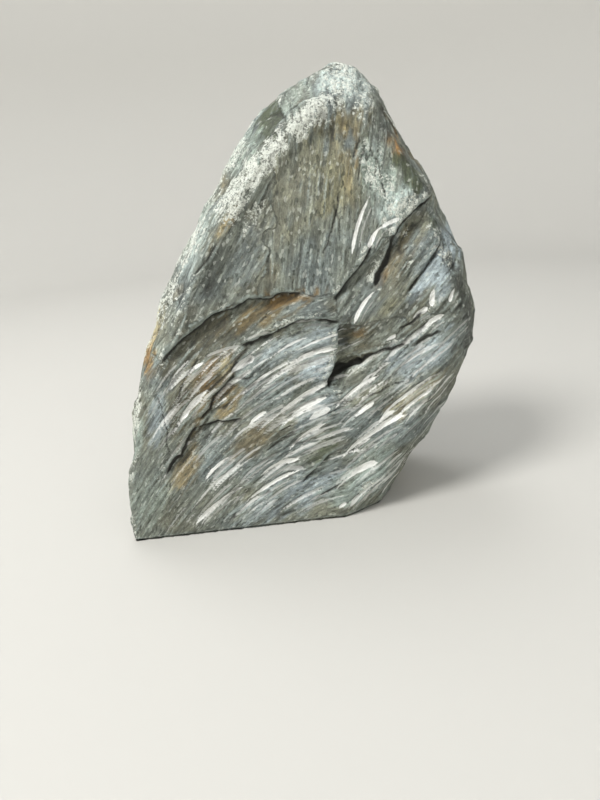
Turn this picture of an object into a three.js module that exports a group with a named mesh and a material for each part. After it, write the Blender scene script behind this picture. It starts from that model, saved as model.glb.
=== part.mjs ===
// A rough block of soapstone, as a stone carver buys it: about 8 inches tall and 7 wide, split on
// every side but its flat base, with ledges where plates of the stone have parted and the short
// furrows of a point chisel across the lower front. It is one natural lump, so it is one solid.
// Millimetres, +Z up. The block stands on its base; the origin is the middle of its outline, at
// the base. -Y is the chiselled front, and +X is the side that overhangs.

import * as THREE from 'three';
import { ConvexGeometry } from 'three/addons/geometries/ConvexGeometry.js';
import { ImprovedNoise } from 'three/addons/math/ImprovedNoise.js';
import { mergeVertices } from 'three/addons/utils/BufferGeometryUtils.js';

// ---- Driving dimensions: the corners of the rough lump, [x, y, z] -----------------------------

const frontRim = [
  [-89, -43, 0], [-83, -40, 38], [-71, -37, 71], [-61, -35, 96], [-51, -33, 115], [-36, -30, 137],
  [-17, -26, 166], [9, -18, 187], [22, -14, 192], [33, -12, 194], [42, -14, 183],
  [54, -20, 157], [61, -22, 146], [69, -25, 126], [75, -27, 108], [74, -29, 88],
  [66, -31, 67], [53, -33, 48], [29, -35, 13], [17, -37, 0],
];
const leftSide = [
  [-90, -38, 27], [-88, -34, 43], [-86, -28, 54], [-75, -20, 90], [-64, -13, 111], [-20, 0, 177],
  [-13, 2, 187],
];
const crest = [[11, 6, 204], [25, 8, 211], [35, 7, 209]];
const rightSide = [
  [40, 6, 204], [46, 5, 195], [79, -6, 128], [85, -8, 116], [88, -10, 104], [89, -10, 96],
  [88, -11, 85], [85, -12, 72], [81, -12, 63], [75, -13, 53], [68, -14, 42],
];
const backRim = [
  [-80, 36, 42], [-70, 34, 78], [-54, 31, 112], [-34, 28, 144], [-12, 24, 172], [10, 19, 192],
  [30, 15, 199], [46, 17, 184], [60, 24, 154], [72, 30, 122], [78, 32, 96], [72, 35, 60],
  [56, 38, 28], [-10, 43, 55], [10, 40, 105],
];
const base = [
  [35, -26, 0], [42, -12, 0], [47, 14, 0], [42, 38, 0], [8, 42, 0], [-45, 43, 0], [-78, 38, 0],
  [-88, 8, 0],
];

// ---- Ledges: lines in [x, z] on a face where a plate of the stone has parted. Walking along the
// line, the stone to the right lies lower by "drop", and climbs back over the distance "run".

const FRONT = -1;
const BACK = 1;
const LEDGE_SLOPE = 1.8; // half the width that a ledge takes to drop
const ledges = [
  { face: FRONT, drop: 3.5, run: 16, line: [[17, 112], [29, 120], [38, 127], [47, 135], [66, 152]] },
  { face: FRONT, drop: 3.0, run: 14, line: [[-62, 89], [-47, 101], [-26, 111], [4, 114]] },
  { face: FRONT, drop: 2.2, run: 10, line: [[-26, 93], [-4, 98], [9, 101], [21, 100]] },
  { face: FRONT, drop: 4.5, run: 14, line: [[14, 66], [18, 82], [21, 98]] },
  { face: FRONT, drop: 2.6, run: 9, line: [[36, 83], [24, 76], [15, 68]] },
  { face: FRONT, drop: 2.0, run: 12, line: [[-68, 34], [-56, 48], [-47, 60], [-30, 79]] },
  { face: FRONT, drop: 1.6, run: 9, line: [[-51, 55], [-41, 57], [-27, 58]] },
  { face: FRONT, drop: 1.6, run: 10, line: [[47, 110], [55, 122], [74, 136]] },
  { face: FRONT, drop: 1.4, run: 8, line: [[-3, 23], [5, 29], [12, 36]] },
  {
    face: FRONT,
    drop: 2.4,
    run: 26,
    line: [[-27, 138], [-12, 158], [8, 176], [30, 184], [38, 172], [40, 150]],
  },
  { face: BACK, drop: 4.0, run: 26, line: [[70, 66], [34, 82], [2, 79], [-30, 96], [-58, 92]] },
  { face: BACK, drop: 3.0, run: 20, line: [[52, 168], [24, 140], [6, 112], [-14, 100]] },
  { face: BACK, drop: 2.5, run: 18, line: [[10, 20], [-20, 34], [-46, 30], [-74, 44]] },
];

// ---- Furrows: strokes of a point chisel on the front, [x, z] to [x, z] and the furrow's width --

const FURROW_DEPTH_PER_WIDTH = 0.3;
const FURROW_BOW = 0.06; // how far a stroke bows up, as a share of its length
const furrows = [
  [-59, 75, -45, 86, 3.5], [-55, 60, -43, 71, 4.5], [-31, 80, -19, 87, 6], [-25, 71, -6, 81, 3.5],
  [-1, 82, 18, 86, 4.5], [-15, 54, 13, 69, 4.5], [-8, 56, 13, 63, 4], [-27, 54, -17, 61, 3.5],
  [-7, 40, 10, 50, 4], [-22, 28, -5, 34, 4], [-33, 14, -4, 28, 4], [-56, 6, -34, 21, 4],
  [-48, 31, -35, 39, 3.5], [16, 57, 35, 69, 4], [20, 33, 45, 49, 5], [36, 50, 64, 68, 5.5],
  [37, 42, 59, 59, 5], [21, 20, 33, 28, 5.5], [27, 100, 37, 109, 4], [58, 92, 69, 97, 4],
  [29, 129, 37, 149, 3.5],
];

// ---- Lumps and layers of the whole surface ----------------------------------------------------

const LUMP_SIZE = 34;
const LUMP_HEIGHT = 1.3;
const PEBBLE_SIZE = 13;
const PEBBLE_HEIGHT = 1.0;
const LAYER_NORMAL = new THREE.Vector3(-0.78, 0.3, 0.55).normalize(); // across the stone's layers
const LAYER_THICKNESS = 15;
const LAYER_STEP = 2.6;
const LAYER_STEP_ON_FACES = 1.3; // the front and back split along the layers, so they step less
const LAYER_EDGE = 0.25; // the share of a layer over which its step runs out
const LAYER_BEND = 0.6; // how far the layers wander, in layers
const LAYER_BEND_SIZE = 60;
const WEAR = 0.45; // how much of the way to its neighbours a sharp corner has been worn
const BASE_FADE = 9; // the relief fades out over this height, because the base is flat
const FACING_RIM = [0.35, 0.7]; // where a face's relief starts and is full, by its normal's Y
const SPLIT_FACE = [0.5, 0.85]; // where a split face starts and is full, by its normal's Y

// ---- Facet sizes ------------------------------------------------------------------------------

const ROUNDING_EDGE = 13; // facets when the corners are worn round
const FRONT_EDGE = 8;
const OTHER_EDGE = 10;
const BASE_EDGE = 30;
const LEDGE_EDGE = 4;
const FURROW_EDGE = 3.4;
const LEDGE_REACH = 3.5; // how far from a ledge its small facets reach
const FURROW_REACH = 0.7; // the same for a furrow, in furrow widths
const FRONT_DEPTH = -10; // in front of this y the surface belongs to the front and its rim
const ON_BASE = 0.01;

const noise = new ImprovedNoise();
const PEBBLE_SEED = 3; // seeds move a noise to another part of its field
const BEND_SEED = 7;
const LAYER_SEED = 3.7;

function noiseAt(point, size, seed = 0) {
  return noise.noise(point.x / size + seed, point.y / size + seed, point.z / size - seed);
}

function smoothstep(low, high, value) {
  return THREE.MathUtils.smoothstep(value, low, high);
}

// ---- A plain indexed mesh: points, and triangles of three point numbers -----------------------

function lumpFromCorners(corners) {
  let hull = new ConvexGeometry(corners.map(([x, y, z]) => new THREE.Vector3(x, y, z)));
  hull.deleteAttribute('normal');
  hull = mergeVertices(hull);
  const position = hull.getAttribute('position');
  const points = [];
  for (let i = 0; i < position.count; i += 1) {
    points.push(new THREE.Vector3().fromBufferAttribute(position, i));
  }
  const triangles = [];
  for (let i = 0; i < hull.index.count; i += 3) {
    triangles.push([hull.index.getX(i), hull.index.getX(i + 1), hull.index.getX(i + 2)]);
  }
  return { points, triangles };
}

function edgeKey(a, b) {
  return a < b ? `${a},${b}` : `${b},${a}`;
}

// The three sides of a triangle, longest first.
function sidesOf(points, [a, b, c]) {
  return [[a, b, c], [b, c, a], [c, a, b]]
    .map(([from, to, opposite]) => (
      { from, to, opposite, key: edgeKey(from, to), length: points[from].distanceTo(points[to]) }))
    .sort((one, other) => other.length - one.length);
}

// Halves a triangle across its longest side where that is split, and then each half in turn.
function splitTriangle(points, triangle, middles) {
  const side = sidesOf(points, triangle).find(({ key }) => middles.has(key));
  if (!side) {
    return [triangle];
  }
  const middle = middles.get(side.key);
  const halves = [[side.from, middle, side.opposite], [middle, side.to, side.opposite]];
  return halves.flatMap((half) => splitTriangle(points, half, middles));
}

// Splits sides until each is as short as limitAt(its middle) asks. A triangle that is split at
// all is split across its longest side, so none grows thin, and a side is split for both its
// triangles at once, so the mesh stays closed.
function refine({ points, triangles }, limitAt) {
  const middles = new Map();
  const middleOf = ({ from, to }) => points[from].clone().lerp(points[to], 0.5);
  const isTooLong = (side) => middles.has(side.key) || side.length > limitAt(middleOf(side));
  let found = true;
  while (found) {
    found = false;
    for (const triangle of triangles) {
      const sides = sidesOf(points, triangle);
      if (!middles.has(sides[0].key) && sides.some(isTooLong)) {
        middles.set(sides[0].key, points.push(middleOf(sides[0])) - 1);
        found = true;
      }
    }
  }
  if (middles.size === 0) {
    return { points, triangles };
  }
  const split = triangles.flatMap((triangle) => splitTriangle(points, triangle, middles));
  return refine({ points, triangles: split }, limitAt);
}

function neighbours({ points, triangles }) {
  const around = points.map(() => new Set());
  for (const triangle of triangles) {
    for (let k = 0; k < 3; k += 1) {
      around[triangle[k]].add(triangle[(k + 1) % 3]);
      around[triangle[(k + 1) % 3]].add(triangle[k]);
    }
  }
  return around;
}

// Wears sharp corners round: each point above the base moves part of the way to its neighbours.
function wearRound(mesh, amount) {
  const moved = neighbours(mesh).map((around, i) => {
    const middle = new THREE.Vector3();
    around.forEach((j) => middle.addScaledVector(mesh.points[j], 1 / around.size));
    return mesh.points[i].clone().lerp(middle, mesh.points[i].z > 0 ? amount : 0);
  });
  return { points: moved, triangles: mesh.triangles };
}

// The direction that the surface faces at each point, from the triangles around it.
function normalsOf({ points, triangles }) {
  const normals = points.map(() => new THREE.Vector3());
  for (const [a, b, c] of triangles) {
    const ab = points[b].clone().sub(points[a]);
    const areaNormal = ab.cross(points[c].clone().sub(points[a]));
    [a, b, c].forEach((i) => normals[i].add(areaNormal));
  }
  return normals.map((normal) => normal.normalize());
}

// ---- Relief -----------------------------------------------------------------------------------

// The nearest place on a line in the XZ plane: how far away it is, on which side (positive to the
// right as walked), and how far the place is from the line's nearer end.
function nearestOnLine(line, x, z) {
  let best = { distance: Infinity };
  let walked = 0;
  for (let i = 0; i + 1 < line.length; i += 1) {
    const [x0, z0] = line[i];
    const alongX = line[i + 1][0] - x0;
    const alongZ = line[i + 1][1] - z0;
    const length = Math.hypot(alongX, alongZ);
    const share = THREE.MathUtils.clamp(
      ((x - x0) * alongX + (z - z0) * alongZ) / (length * length), 0, 1);
    const offX = x - x0 - share * alongX;
    const offZ = z - z0 - share * alongZ;
    const distance = Math.hypot(offX, offZ);
    if (distance < best.distance) {
      const right = Math.sign(offX * alongZ - offZ * alongX);
      best = { distance, right, walked: walked + share * length };
    }
    walked += length;
  }
  return { ...best, toEnd: Math.min(best.walked, walked - best.walked) };
}

function furrowLine([x0, z0, x1, z1]) {
  const bowX = -(z1 - z0) * FURROW_BOW;
  const bowZ = (x1 - x0) * FURROW_BOW;
  return [[x0, z0], [(x0 + x1) / 2 + bowX, (z0 + z1) / 2 + bowZ], [x1, z1]];
}

// 1 where the surface faces the way that a ledge's face does, falling to 0 round the rim.
function facingOf(face, normal) {
  return smoothstep(...FACING_RIM, face * normal.y);
}

// How far the stone lies below the face at this place, for one ledge.
function ledgeDepth({ face, drop, run, line }, point, normal) {
  const { distance, right, toEnd } = nearestOnLine(line, point.x, point.z);
  const past = right * distance;
  const step = smoothstep(-LEDGE_SLOPE, LEDGE_SLOPE, past) * (1 - smoothstep(LEDGE_SLOPE, run, past));
  return drop * facingOf(face, normal) * smoothstep(0, run / 2, toEnd) * step;
}

// How far the chisel has cut below the face at this place, for one furrow.
function furrowDepth(furrow, point, normal) {
  const width = furrow[4];
  const { distance, toEnd } = nearestOnLine(furrowLine(furrow), point.x, point.z);
  const across = 1 - smoothstep(0, width / 2 + FURROW_EDGE / 2, distance);
  const depth = width * FURROW_DEPTH_PER_WIDTH * facingOf(FRONT, normal);
  return depth * across * smoothstep(0, width / 2, toEnd);
}

// Each layer of the stone ends a little further out or in than the next one.
function layerHeight(point) {
  const bend = LAYER_BEND * noiseAt(point, LAYER_BEND_SIZE, BEND_SEED);
  const place = point.dot(LAYER_NORMAL) / LAYER_THICKNESS + bend;
  const layer = Math.floor(place);
  const height = (number) => noise.noise(number * LAYER_SEED, 0.5, 0.5);
  const towardsNext = smoothstep(1 - LAYER_EDGE, 1, place - layer);
  return THREE.MathUtils.lerp(height(layer), height(layer + 1), towardsNext);
}

function outwardHeight(point, normal) {
  const split = smoothstep(...SPLIT_FACE, Math.abs(normal.y));
  const layerStep = THREE.MathUtils.lerp(LAYER_STEP, LAYER_STEP_ON_FACES, split);
  let height = LUMP_HEIGHT * noiseAt(point, LUMP_SIZE)
    + PEBBLE_HEIGHT * noiseAt(point, PEBBLE_SIZE, PEBBLE_SEED)
    + layerStep * layerHeight(point);
  for (const ledge of ledges) {
    height -= ledgeDepth(ledge, point, normal);
  }
  const deepestFurrow = Math.max(...furrows.map((furrow) => furrowDepth(furrow, point, normal)));
  return height - deepestFurrow;
}

function carve(mesh) {
  const normals = normalsOf(mesh);
  const points = mesh.points.map((point, i) => {
    const fade = smoothstep(0, BASE_FADE, point.z);
    return point.clone().addScaledVector(normals[i], fade * outwardHeight(point, normals[i]));
  });
  return { points, triangles: mesh.triangles };
}

// ---- Facet size at a place on the surface -----------------------------------------------------

function edgeLimit(point) {
  if (point.z < ON_BASE) {
    return BASE_EDGE;
  }
  let limit = point.y < FRONT_DEPTH ? FRONT_EDGE : OTHER_EDGE;
  for (const { face, line } of ledges) {
    const { distance } = nearestOnLine(line, point.x, point.z);
    if (face * (point.y - FRONT_DEPTH) > 0 && distance < LEDGE_REACH) {
      limit = face === FRONT ? LEDGE_EDGE : FRONT_EDGE;
    }
  }
  for (const furrow of furrows) {
    const { distance } = nearestOnLine(furrowLine(furrow), point.x, point.z);
    if (point.y < FRONT_DEPTH && distance < FURROW_REACH * furrow[4]) {
      limit = FURROW_EDGE;
    }
  }
  return limit;
}

// ---- The block --------------------------------------------------------------------------------

function geometryOf({ points, triangles }) {
  const geometry = new THREE.BufferGeometry();
  geometry.setFromPoints(points);
  geometry.setIndex(triangles.flat());
  geometry.computeVertexNormals();
  return geometry;
}

const corners = [...frontRim, ...leftSide, ...crest, ...rightSide, ...backRim, ...base];
let lump = refine(lumpFromCorners(corners), () => ROUNDING_EDGE);
lump = wearRound(lump, WEAR);
lump = carve(refine(lump, edgeLimit));

const soapstone = new THREE.MeshStandardMaterial({
  name: 'soapstone', color: 0x8a9089, roughness: 0.78, metalness: 0,
});
const block = new THREE.Mesh(geometryOf(lump), soapstone);
block.name = 'soapstone_block';
block.geometry.computeBoundingBox();
const middle = block.geometry.boundingBox.getCenter(new THREE.Vector3());
block.geometry.translate(-middle.x, -middle.y, 0);

const part = new THREE.Group();
part.add(block);

export default part;
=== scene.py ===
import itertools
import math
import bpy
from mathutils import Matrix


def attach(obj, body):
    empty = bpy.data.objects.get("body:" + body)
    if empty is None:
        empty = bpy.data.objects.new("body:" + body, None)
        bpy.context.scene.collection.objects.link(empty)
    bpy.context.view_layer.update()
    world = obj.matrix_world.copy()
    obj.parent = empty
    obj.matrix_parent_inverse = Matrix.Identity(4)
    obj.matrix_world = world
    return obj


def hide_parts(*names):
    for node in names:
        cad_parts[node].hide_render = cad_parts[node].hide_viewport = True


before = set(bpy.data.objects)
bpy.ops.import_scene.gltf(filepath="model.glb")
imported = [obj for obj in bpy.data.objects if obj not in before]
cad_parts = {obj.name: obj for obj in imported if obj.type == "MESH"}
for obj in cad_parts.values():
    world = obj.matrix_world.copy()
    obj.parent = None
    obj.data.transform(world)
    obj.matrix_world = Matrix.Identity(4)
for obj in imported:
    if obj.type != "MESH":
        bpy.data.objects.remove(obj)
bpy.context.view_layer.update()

# The looks of a rough soapstone block: a fine surface grown from the frame's solid, with the grain,
# ledges, cracks, chisel furrows and crumbs of the real stone, and one layered procedural material.
# Places on the stone are in millimetres, as [x, z] on its front, and Blender's meshes are in metres.

from types import SimpleNamespace

import bpy
import numpy as np
from mathutils import Matrix, Vector

NODE = "soapstone_block"
MM = 0.001

# ---- The mesh: facet sizes and smoothing ----

WELD_DECIMALS = 6  # points of the solid that agree to this many decimals of a metre are one
FRONT_EDGE = 1.2  # the longest side of a triangle on the front, elsewhere and on the base
OTHER_EDGE = 2.15
BASE_EDGE = 5.0
FRONT_NORMAL_Y = -0.35  # a triangle whose normal's Y is under this belongs to the front
SMOOTH_PASSES = 14
SMOOTHING = 0.6  # how far a point moves to its neighbours' mean in one pass
ON_BASE = 0.02  # a point lower than this lies on the flat base
BASE_FADE = 5.0  # the relief grows to its full height over this height above the base
RIM_WEAR = 1.3  # how far the rim round the base is worn in, and up to what height
RIM_HEIGHT = 1.6
RIM_TURN = (0.2, 0.5)  # how level a normal is where that wear starts and where it is full

# ---- Ledges and cracks: lines in [x, z] ----
# (line, drop, run, crack, lip): walking along the line, the stone to the right lies lower by "drop" and
# climbs back over "run". The crack at its foot is "crack" wide to each side, and "lip" is how white
# its upper edge is.

LEDGES = [
    ([(36, 113), (38, 118), (42, 125), (45, 132), (49, 138), (55, 143), (66, 150)], 2.2, 10, 1.2, 1.0),
    ([(17, 109), (24, 116), (31, 123), (34, 127), (36, 132)], 1.0, 5, 0.5, 0.3),
    ([(-62, 89), (-52, 97), (-38, 106), (-20, 112), (4, 114)], 1.1, 7, 0.45, 0),
    ([(-26, 93), (-13, 96), (2, 101), (21, 100)], 1.1, 5, 0.5, 0.2),
    ([(13, 68), (16, 77), (19, 88), (20, 99)], 2.2, 9, 0.6, 0.4),
    ([(32, 80), (27, 78), (20, 74), (13, 68)], 2.4, 5, 1.1, 0.2),
    ([(-68, 34), (-63, 41), (-59, 43), (-55, 51), (-51, 56)], 1.5, 6, 1.0, 0),
    ([(-49, 59), (-44, 63), (-41, 70), (-35, 74), (-30, 80)], 1.1, 5, 0.6, 0),
    ([(-51, 55), (-41, 57), (-28, 58)], 0.9, 5, 0.5, 0),
    ([(51, 109), (56, 115), (63, 123), (69, 130)], 1.0, 5, 0.4, 0.3),
    ([(-3, 23), (5, 29), (12, 36)], 0.7, 4, 0.1, 0),
    ([(25, 79), (38, 84), (52, 87)], 0.7, 4, 0.5, 0.3),
]
# (line, width, depth)
CRACKS = [
    ([(52, 84), (60, 88), (68, 90)], 0.6, 0.7),
    ([(45, 92), (53, 95), (60, 101)], 0.6, 0.6),
    ([(-44, 124), (-36, 131), (-30, 139)], 0.4, 0.5),
    ([(-58, 68), (-53, 79), (-44, 90)], 0.35, 0.4),
    ([(-66, 40), (-64, 56), (-66, 74)], 0.3, 0.4),
    ([(-20, 40), (-12, 45), (-2, 49)], 0.35, 0.4),
    ([(30, 62), (40, 66), (50, 68)], 0.4, 0.5),
    ([(3, 12), (12, 17), (17, 20)], 0.45, 0.4),
    ([(-45, 71), (-36, 78), (-26, 86)], 0.5, 0.5),
    ([(44, 150), (42, 160), (38, 172)], 0.3, 0.4),
    ([(14, 128), (20, 140), (24, 156)], 0.35, 0.5),
]

# The same on the back, in the front's [x, z]: wide, worn steps where layers split off.
BACK_LEDGES = [
    ([(66, 26), (46, 46), (30, 66), (20, 90), (12, 114), (8, 142)], 1.7, 12, 0.25, 0.2),
    ([(18, 8), (-4, 30), (-22, 56), (-36, 78), (-44, 106)], 1.4, 10, 0.2, 0.15),
    ([(40, 104), (35, 128), (26, 150), (22, 178)], 1.3, 9, 0.15, 0.2),
    ([(-14, 96), (-24, 116), (-30, 138)], 1.1, 8, 0.3, 0.1),
    ([(74, 66), (60, 84), (52, 106)], 1.0, 8, 0.1, 0.1),
]

# ---- Chisel strokes on the front ----
# From the thin end's [x, z] to the thick end's, then the width and how white the stroke is.

STROKES = [
    (-59, 75, -43, 86, 1.8, 0.95), (-42, 73, -56, 60, 2.8, 1.0), (-31, 80, -20, 86, 3.6, 0.75),
    (-26, 70, -4, 82, 1.5, 0.9), (-3, 82, 18, 86, 2.0, 1.0), (-15, 55, 12, 69, 2.6, 1.0),
    (-9, 53, 11, 63, 2.3, 0.95), (-26, 54, -17, 60, 1.9, 1.0), (-22, 50, -8, 60, 1.4, 0.5),
    (-7, 40, 10, 51, 2.2, 1.0), (3, 54, 13, 58, 3.8, 0.75), (-34, 40, -49, 29, 1.7, 0.95),
    (-33, 22, -56, 6, 2.3, 1.0), (-22, 28, -4, 34, 2.8, 1.0), (-31, 14, -6, 27, 2.0, 1.0),
    (15, 57, 36, 71, 1.9, 1.0), (25, 53, 34, 59, 2.7, 1.0), (38, 50, 65, 69, 2.0, 1.0),
    (44, 48, 62, 62, 1.7, 0.9), (49, 47, 60, 57, 1.3, 0.7), (19, 33, 48, 50, 3.2, 1.0),
    (35, 47, 44, 53, 2.3, 1.0), (20, 21, 34, 28, 4.0, 0.95), (14, 5, 18, 8, 2.0, 0.9),
    (20, 5, 25, 11, 2.6, 0.6), (37, 111, 27, 98, 2.0, 1.0), (64, 110, 63, 102, 2.8, 0.9),
    (74, 109, 71, 103, 1.9, 0.9), (54, 97, 61, 101, 2.7, 0.8), (59, 92, 68, 97, 2.7, 1.0),
    (37, 151, 28, 129, 1.9, 1.0), (40, 138, 35, 130, 2.3, 0.9), (39, 137, 49, 141, 1.9, 0.8),
    (41, 88, 46, 90, 1.9, 0.8), (44, 72, 66, 84, 1.7, 0.5), (47, 77, 60, 84, 1.4, 0.4),
    (-5, 77, 14, 82, 4.4, 0.3), (-12, 29, -2, 29, 3.0, 0.35), (24, 40, 38, 49, 1.4, 0.4),
    (-43, 88, -26, 92, 1.6, 0.35), (-24, 94, -12, 97, 1.4, 0.45), (-4, 99, 18, 99, 1.6, 0.45),
]
STROKE_STEPS = 6  # straight pieces that its middle line is made of
# Shares of a stroke's length: how far it bows up, how far its fading tips run past its marked ends,
# over how much it swells from its thin end, and from where it fades at its thick end.
STROKE_BOW = 0.06
STROKE_OVERRUN = 0.1
STROKE_SWELL = 0.5
STROKE_FADE = 0.78
SWELL_POWER = 0.7  # under 1, so that a stroke soon reaches most of its width
# Shares of a stroke's width: its furrow, the burr that the chisel throws up on its lower side, half
# the width of its white, and where the shadow of the burr lies.
FURROW_DEPTH = 0.22
FURROW_WIDTH = 0.55
BURR_HEIGHT = 0.12
BURR_AT = 0.95
BURR_WIDTH = 0.35
HALF_WHITE = 0.43
SHADE_AT = 0.75
SHADE_WIDTH = 0.35  # in millimetres
SHADE_STRENGTH = 0.8
NEAR_STROKE = 8.0  # a stroke changes nothing farther than this outside the box round its ends
CUTS_WITHIN = 0.6  # a later stroke's own white shows from this gap inwards
RAGGED_STROKE = 0.16  # how far a stroke's edge strays
LEAST_SWELL = 0.04  # a tip thinner than this leaves no white

# The fainter furrow beside each stroke: its distance in widths, and shares of the stroke's length
# and white.
COMPANION_OFFSET = 0.95
COMPANION_LENGTH = 0.8
COMPANION_WIDTH = 1.0
COMPANION_WHITE = 0.36

# Faint scratches between the strokes, drawn at random along the grain.
SCRATCHES = 180
SCRATCH_SEED = 7
SCRATCH_X = (-66, 72)
SCRATCH_Z = (6, 90)
SCRATCH_LENGTH = (9, 30)
SCRATCH_WIDTH = (0.7, 1.4)
SCRATCH_WHITE = (0.2, 0.75)

# ---- Colours, stains, plates of other colour and a few daubs of painted shade on the front ----

LIGHT_ON_FRONT = 1.2  # how much brighter than its own colour a card shows on the lit front


def linear(red, green, blue):
    """The share of light that a surface reflects if the studio light is to show it as this sRGB."""
    share = (np.array([red, green, blue]) / 255 + 0.055) / 1.055
    return share**2.4 / LIGHT_ON_FRONT


GREY = linear(125, 131, 121)
WARM_GREY = linear(128, 129, 112)
BLUE_GREY = linear(120, 131, 131)
PALE_BLUE = linear(165, 178, 182)
PALE_GREEN = linear(156, 170, 160)
DUSTY = linear(183, 197, 192)
DARK_GREEN = linear(80, 88, 66)
DARK_GREY = linear(82, 87, 80)
BROWN = linear(112, 99, 68)
BROWN_GREY = linear(91, 90, 75)
OLIVE = linear(134, 132, 105)
RUST = linear(126, 98, 52)
ORANGE = linear(194, 144, 88)
OCHRE = linear(158, 140, 96)
CREAM = linear(206, 196, 158)
WHITE = linear(230, 234, 224)
# Painted shade: the dark that fills cracks and hairline cracks, and the shadows below the chisel's burrs.
CRACK_SHADE = linear(40, 40, 35)
CRUSHED_WHITE = np.array([0.93, 0.94, 0.91])  # the share that it reflects, as clean talc powder does

# (colour, x, z, half length, half height, tilt of the length in degrees, strength), in painting order
DAUBS = [
    # The top plate, its white ridge and the green bevel above it.
    (OLIVE, 18, 158, 30, 17, 62, 0.85), (BLUE_GREY, 12, 134, 20, 8, 35, 0.5),
    (BLUE_GREY, 10, 153, 12, 7, 60, 0.4), (BROWN, 29, 181, 12, 6, 20, 0.4),
    (RUST, 32, 168, 10, 1.8, 85, 0.5), (OCHRE, 28, 167, 16, 3, 88, 0.35),
    (BLUE_GREY, -20, 128, 18, 7, 50, 0.7), (DARK_GREY, -33, 131, 18, 7, 55, 0.85),
    (OCHRE, -26, 145, 12, 2.5, 52, 0.55), (WARM_GREY, 0, 152, 24, 9, 55, 0.75),
    (PALE_GREEN, 4, 191, 16, 6, 38, 0.45), (DARK_GREEN, -5, 184, 12, 5, 62, 1.0),
    (PALE_GREEN, -17, 172, 12, 6, 60, 0.7), (DUSTY, -40, 140, 18, 5, 58, 0.6),
    (DUSTY, 30, 198, 12, 7, -10, 0.8),
    # The grainy strip on its right, and the right outline.
    (PALE_GREEN, 44, 154, 20, 8, -66, 0.9), (DUSTY, 47, 148, 10, 5, 40, 0.8),
    (RUST, 50, 171, 8, 4, -62, 1.0), (ORANGE, 51, 169, 4, 2.2, -62, 0.8),
    (DARK_GREEN, 54, 161, 11, 4, -62, 0.95), (DARK_GREY, 46, 179, 7, 3, -62, 0.8),
    # The parted plates on the right.
    (WARM_GREY, 59, 139, 14, 6, 47, 0.9), (BROWN, 46, 122, 15, 7, 50, 0.55),
    (RUST, 41, 116, 5, 2, 55, 0.5), (PALE_BLUE, 66, 119, 20, 10, 54, 1.0),
    # The DARK_GREY daubs at x 78 and x 84 are painted shade on the right side edge, which turns away from
    # the light.
    (DARK_GREEN, 66, 138, 7, 2.5, -75, 0.6), (DARK_GREY, 78, 106, 18, 4, -65, 0.9),
    (DARK_GREY, 84, 84, 14, 4, 88, 0.9), (BLUE_GREY, 33, 107, 12, 7, 45, 0.6),
    (DARK_GREY, 50, 101, 12, 5, 25, 0.5), (OLIVE, 44, 104, 6, 3, 40, 0.5),
    # The brown band across the middle.
    (BROWN_GREY, -38, 97, 28, 10, 34, 1.0), (BROWN_GREY, -50, 82, 14, 9, 45, 0.8),
    (WARM_GREY, -46, 74, 24, 12, 46, 0.9), (BROWN, -42, 76, 20, 10, 48, 0.75),
    (BROWN, -12, 107, 18, 6, 16, 0.9), (RUST, -3, 111, 13, 4, 10, 0.7),
    (RUST, -44, 77, 10, 4, 55, 0.6), (RUST, -37, 70, 10, 3, 50, 0.6), (CREAM, -34, 83, 5, 3, 40, 0.75),
    (OCHRE, -36, 62, 10, 4, 40, 0.7), (BROWN, -51, 56, 18, 3, 52, 0.8),
    (BROWN_GREY, -56, 66, 13, 5, 58, 0.85), (BROWN_GREY, 28, 91, 11, 9, 10, 1.0),
    (RUST, 29, 92, 4, 2.5, 10, 0.4),
    # The striated plate below it.
    (PALE_BLUE, 2, 90, 20, 7, 12, 0.65), (PALE_BLUE, 7, 78, 14, 5, 20, 1.0),
    (PALE_BLUE, 6, 58, 10, 5, 25, 0.7), (BLUE_GREY, -14, 66, 16, 7, 30, 0.6),
    # The DARK_GREY daub at x 20, z 73 is painted shade in the hole under the ledge of the pit.
    (DARK_GREY, 20, 73, 10, 3, 35, 0.6),
    # The lower left and bottom.
    (BLUE_GREY, -46, 42, 20, 8, 42, 0.6), (OCHRE, -58, 34, 12, 6, 55, 0.7),
    (BROWN, -24, 46, 12, 6, 40, 0.7), (BLUE_GREY, -6, 42, 16, 7, 30, 0.7),
    (PALE_GREEN, -77, 22, 14, 8, 45, 0.5), (PALE_BLUE, -20, 12, 24, 8, 28, 0.5),
    (PALE_BLUE, 2, 15, 22, 8, 25, 0.85), (PALE_GREEN, 22, 15, 16, 9, 25, 0.9),
    (DUSTY, 27, 15, 14, 8, 35, 0.95), (PALE_GREEN, 32, 29, 14, 6, 40, 0.6),
    (DARK_GREEN, 10, 39, 12, 4.5, 55, 0.8),
    # The lower right.
    (PALE_BLUE, 52, 76, 19, 9, 35, 0.85), (PALE_BLUE, 66, 82, 9, 6, 40, 0.5),
    (OLIVE, 38, 66, 14, 4, 33, 0.5), (CREAM, 53, 60, 17, 5, 38, 0.55),
    # The left rim.
    (OCHRE, -68, 95, 15, 3.5, 70, 0.9), (ORANGE, -69, 92, 9, 2, 72, 0.5),
    (CREAM, -66, 100, 9, 2.5, 60, 0.8), (RUST, -70, 84, 8, 3, 70, 0.55),
    (PALE_BLUE, -68, 62, 14, 4, 78, 0.8), (PALE_GREEN, -80, 52, 12, 3, 70, 0.8),
]
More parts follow.
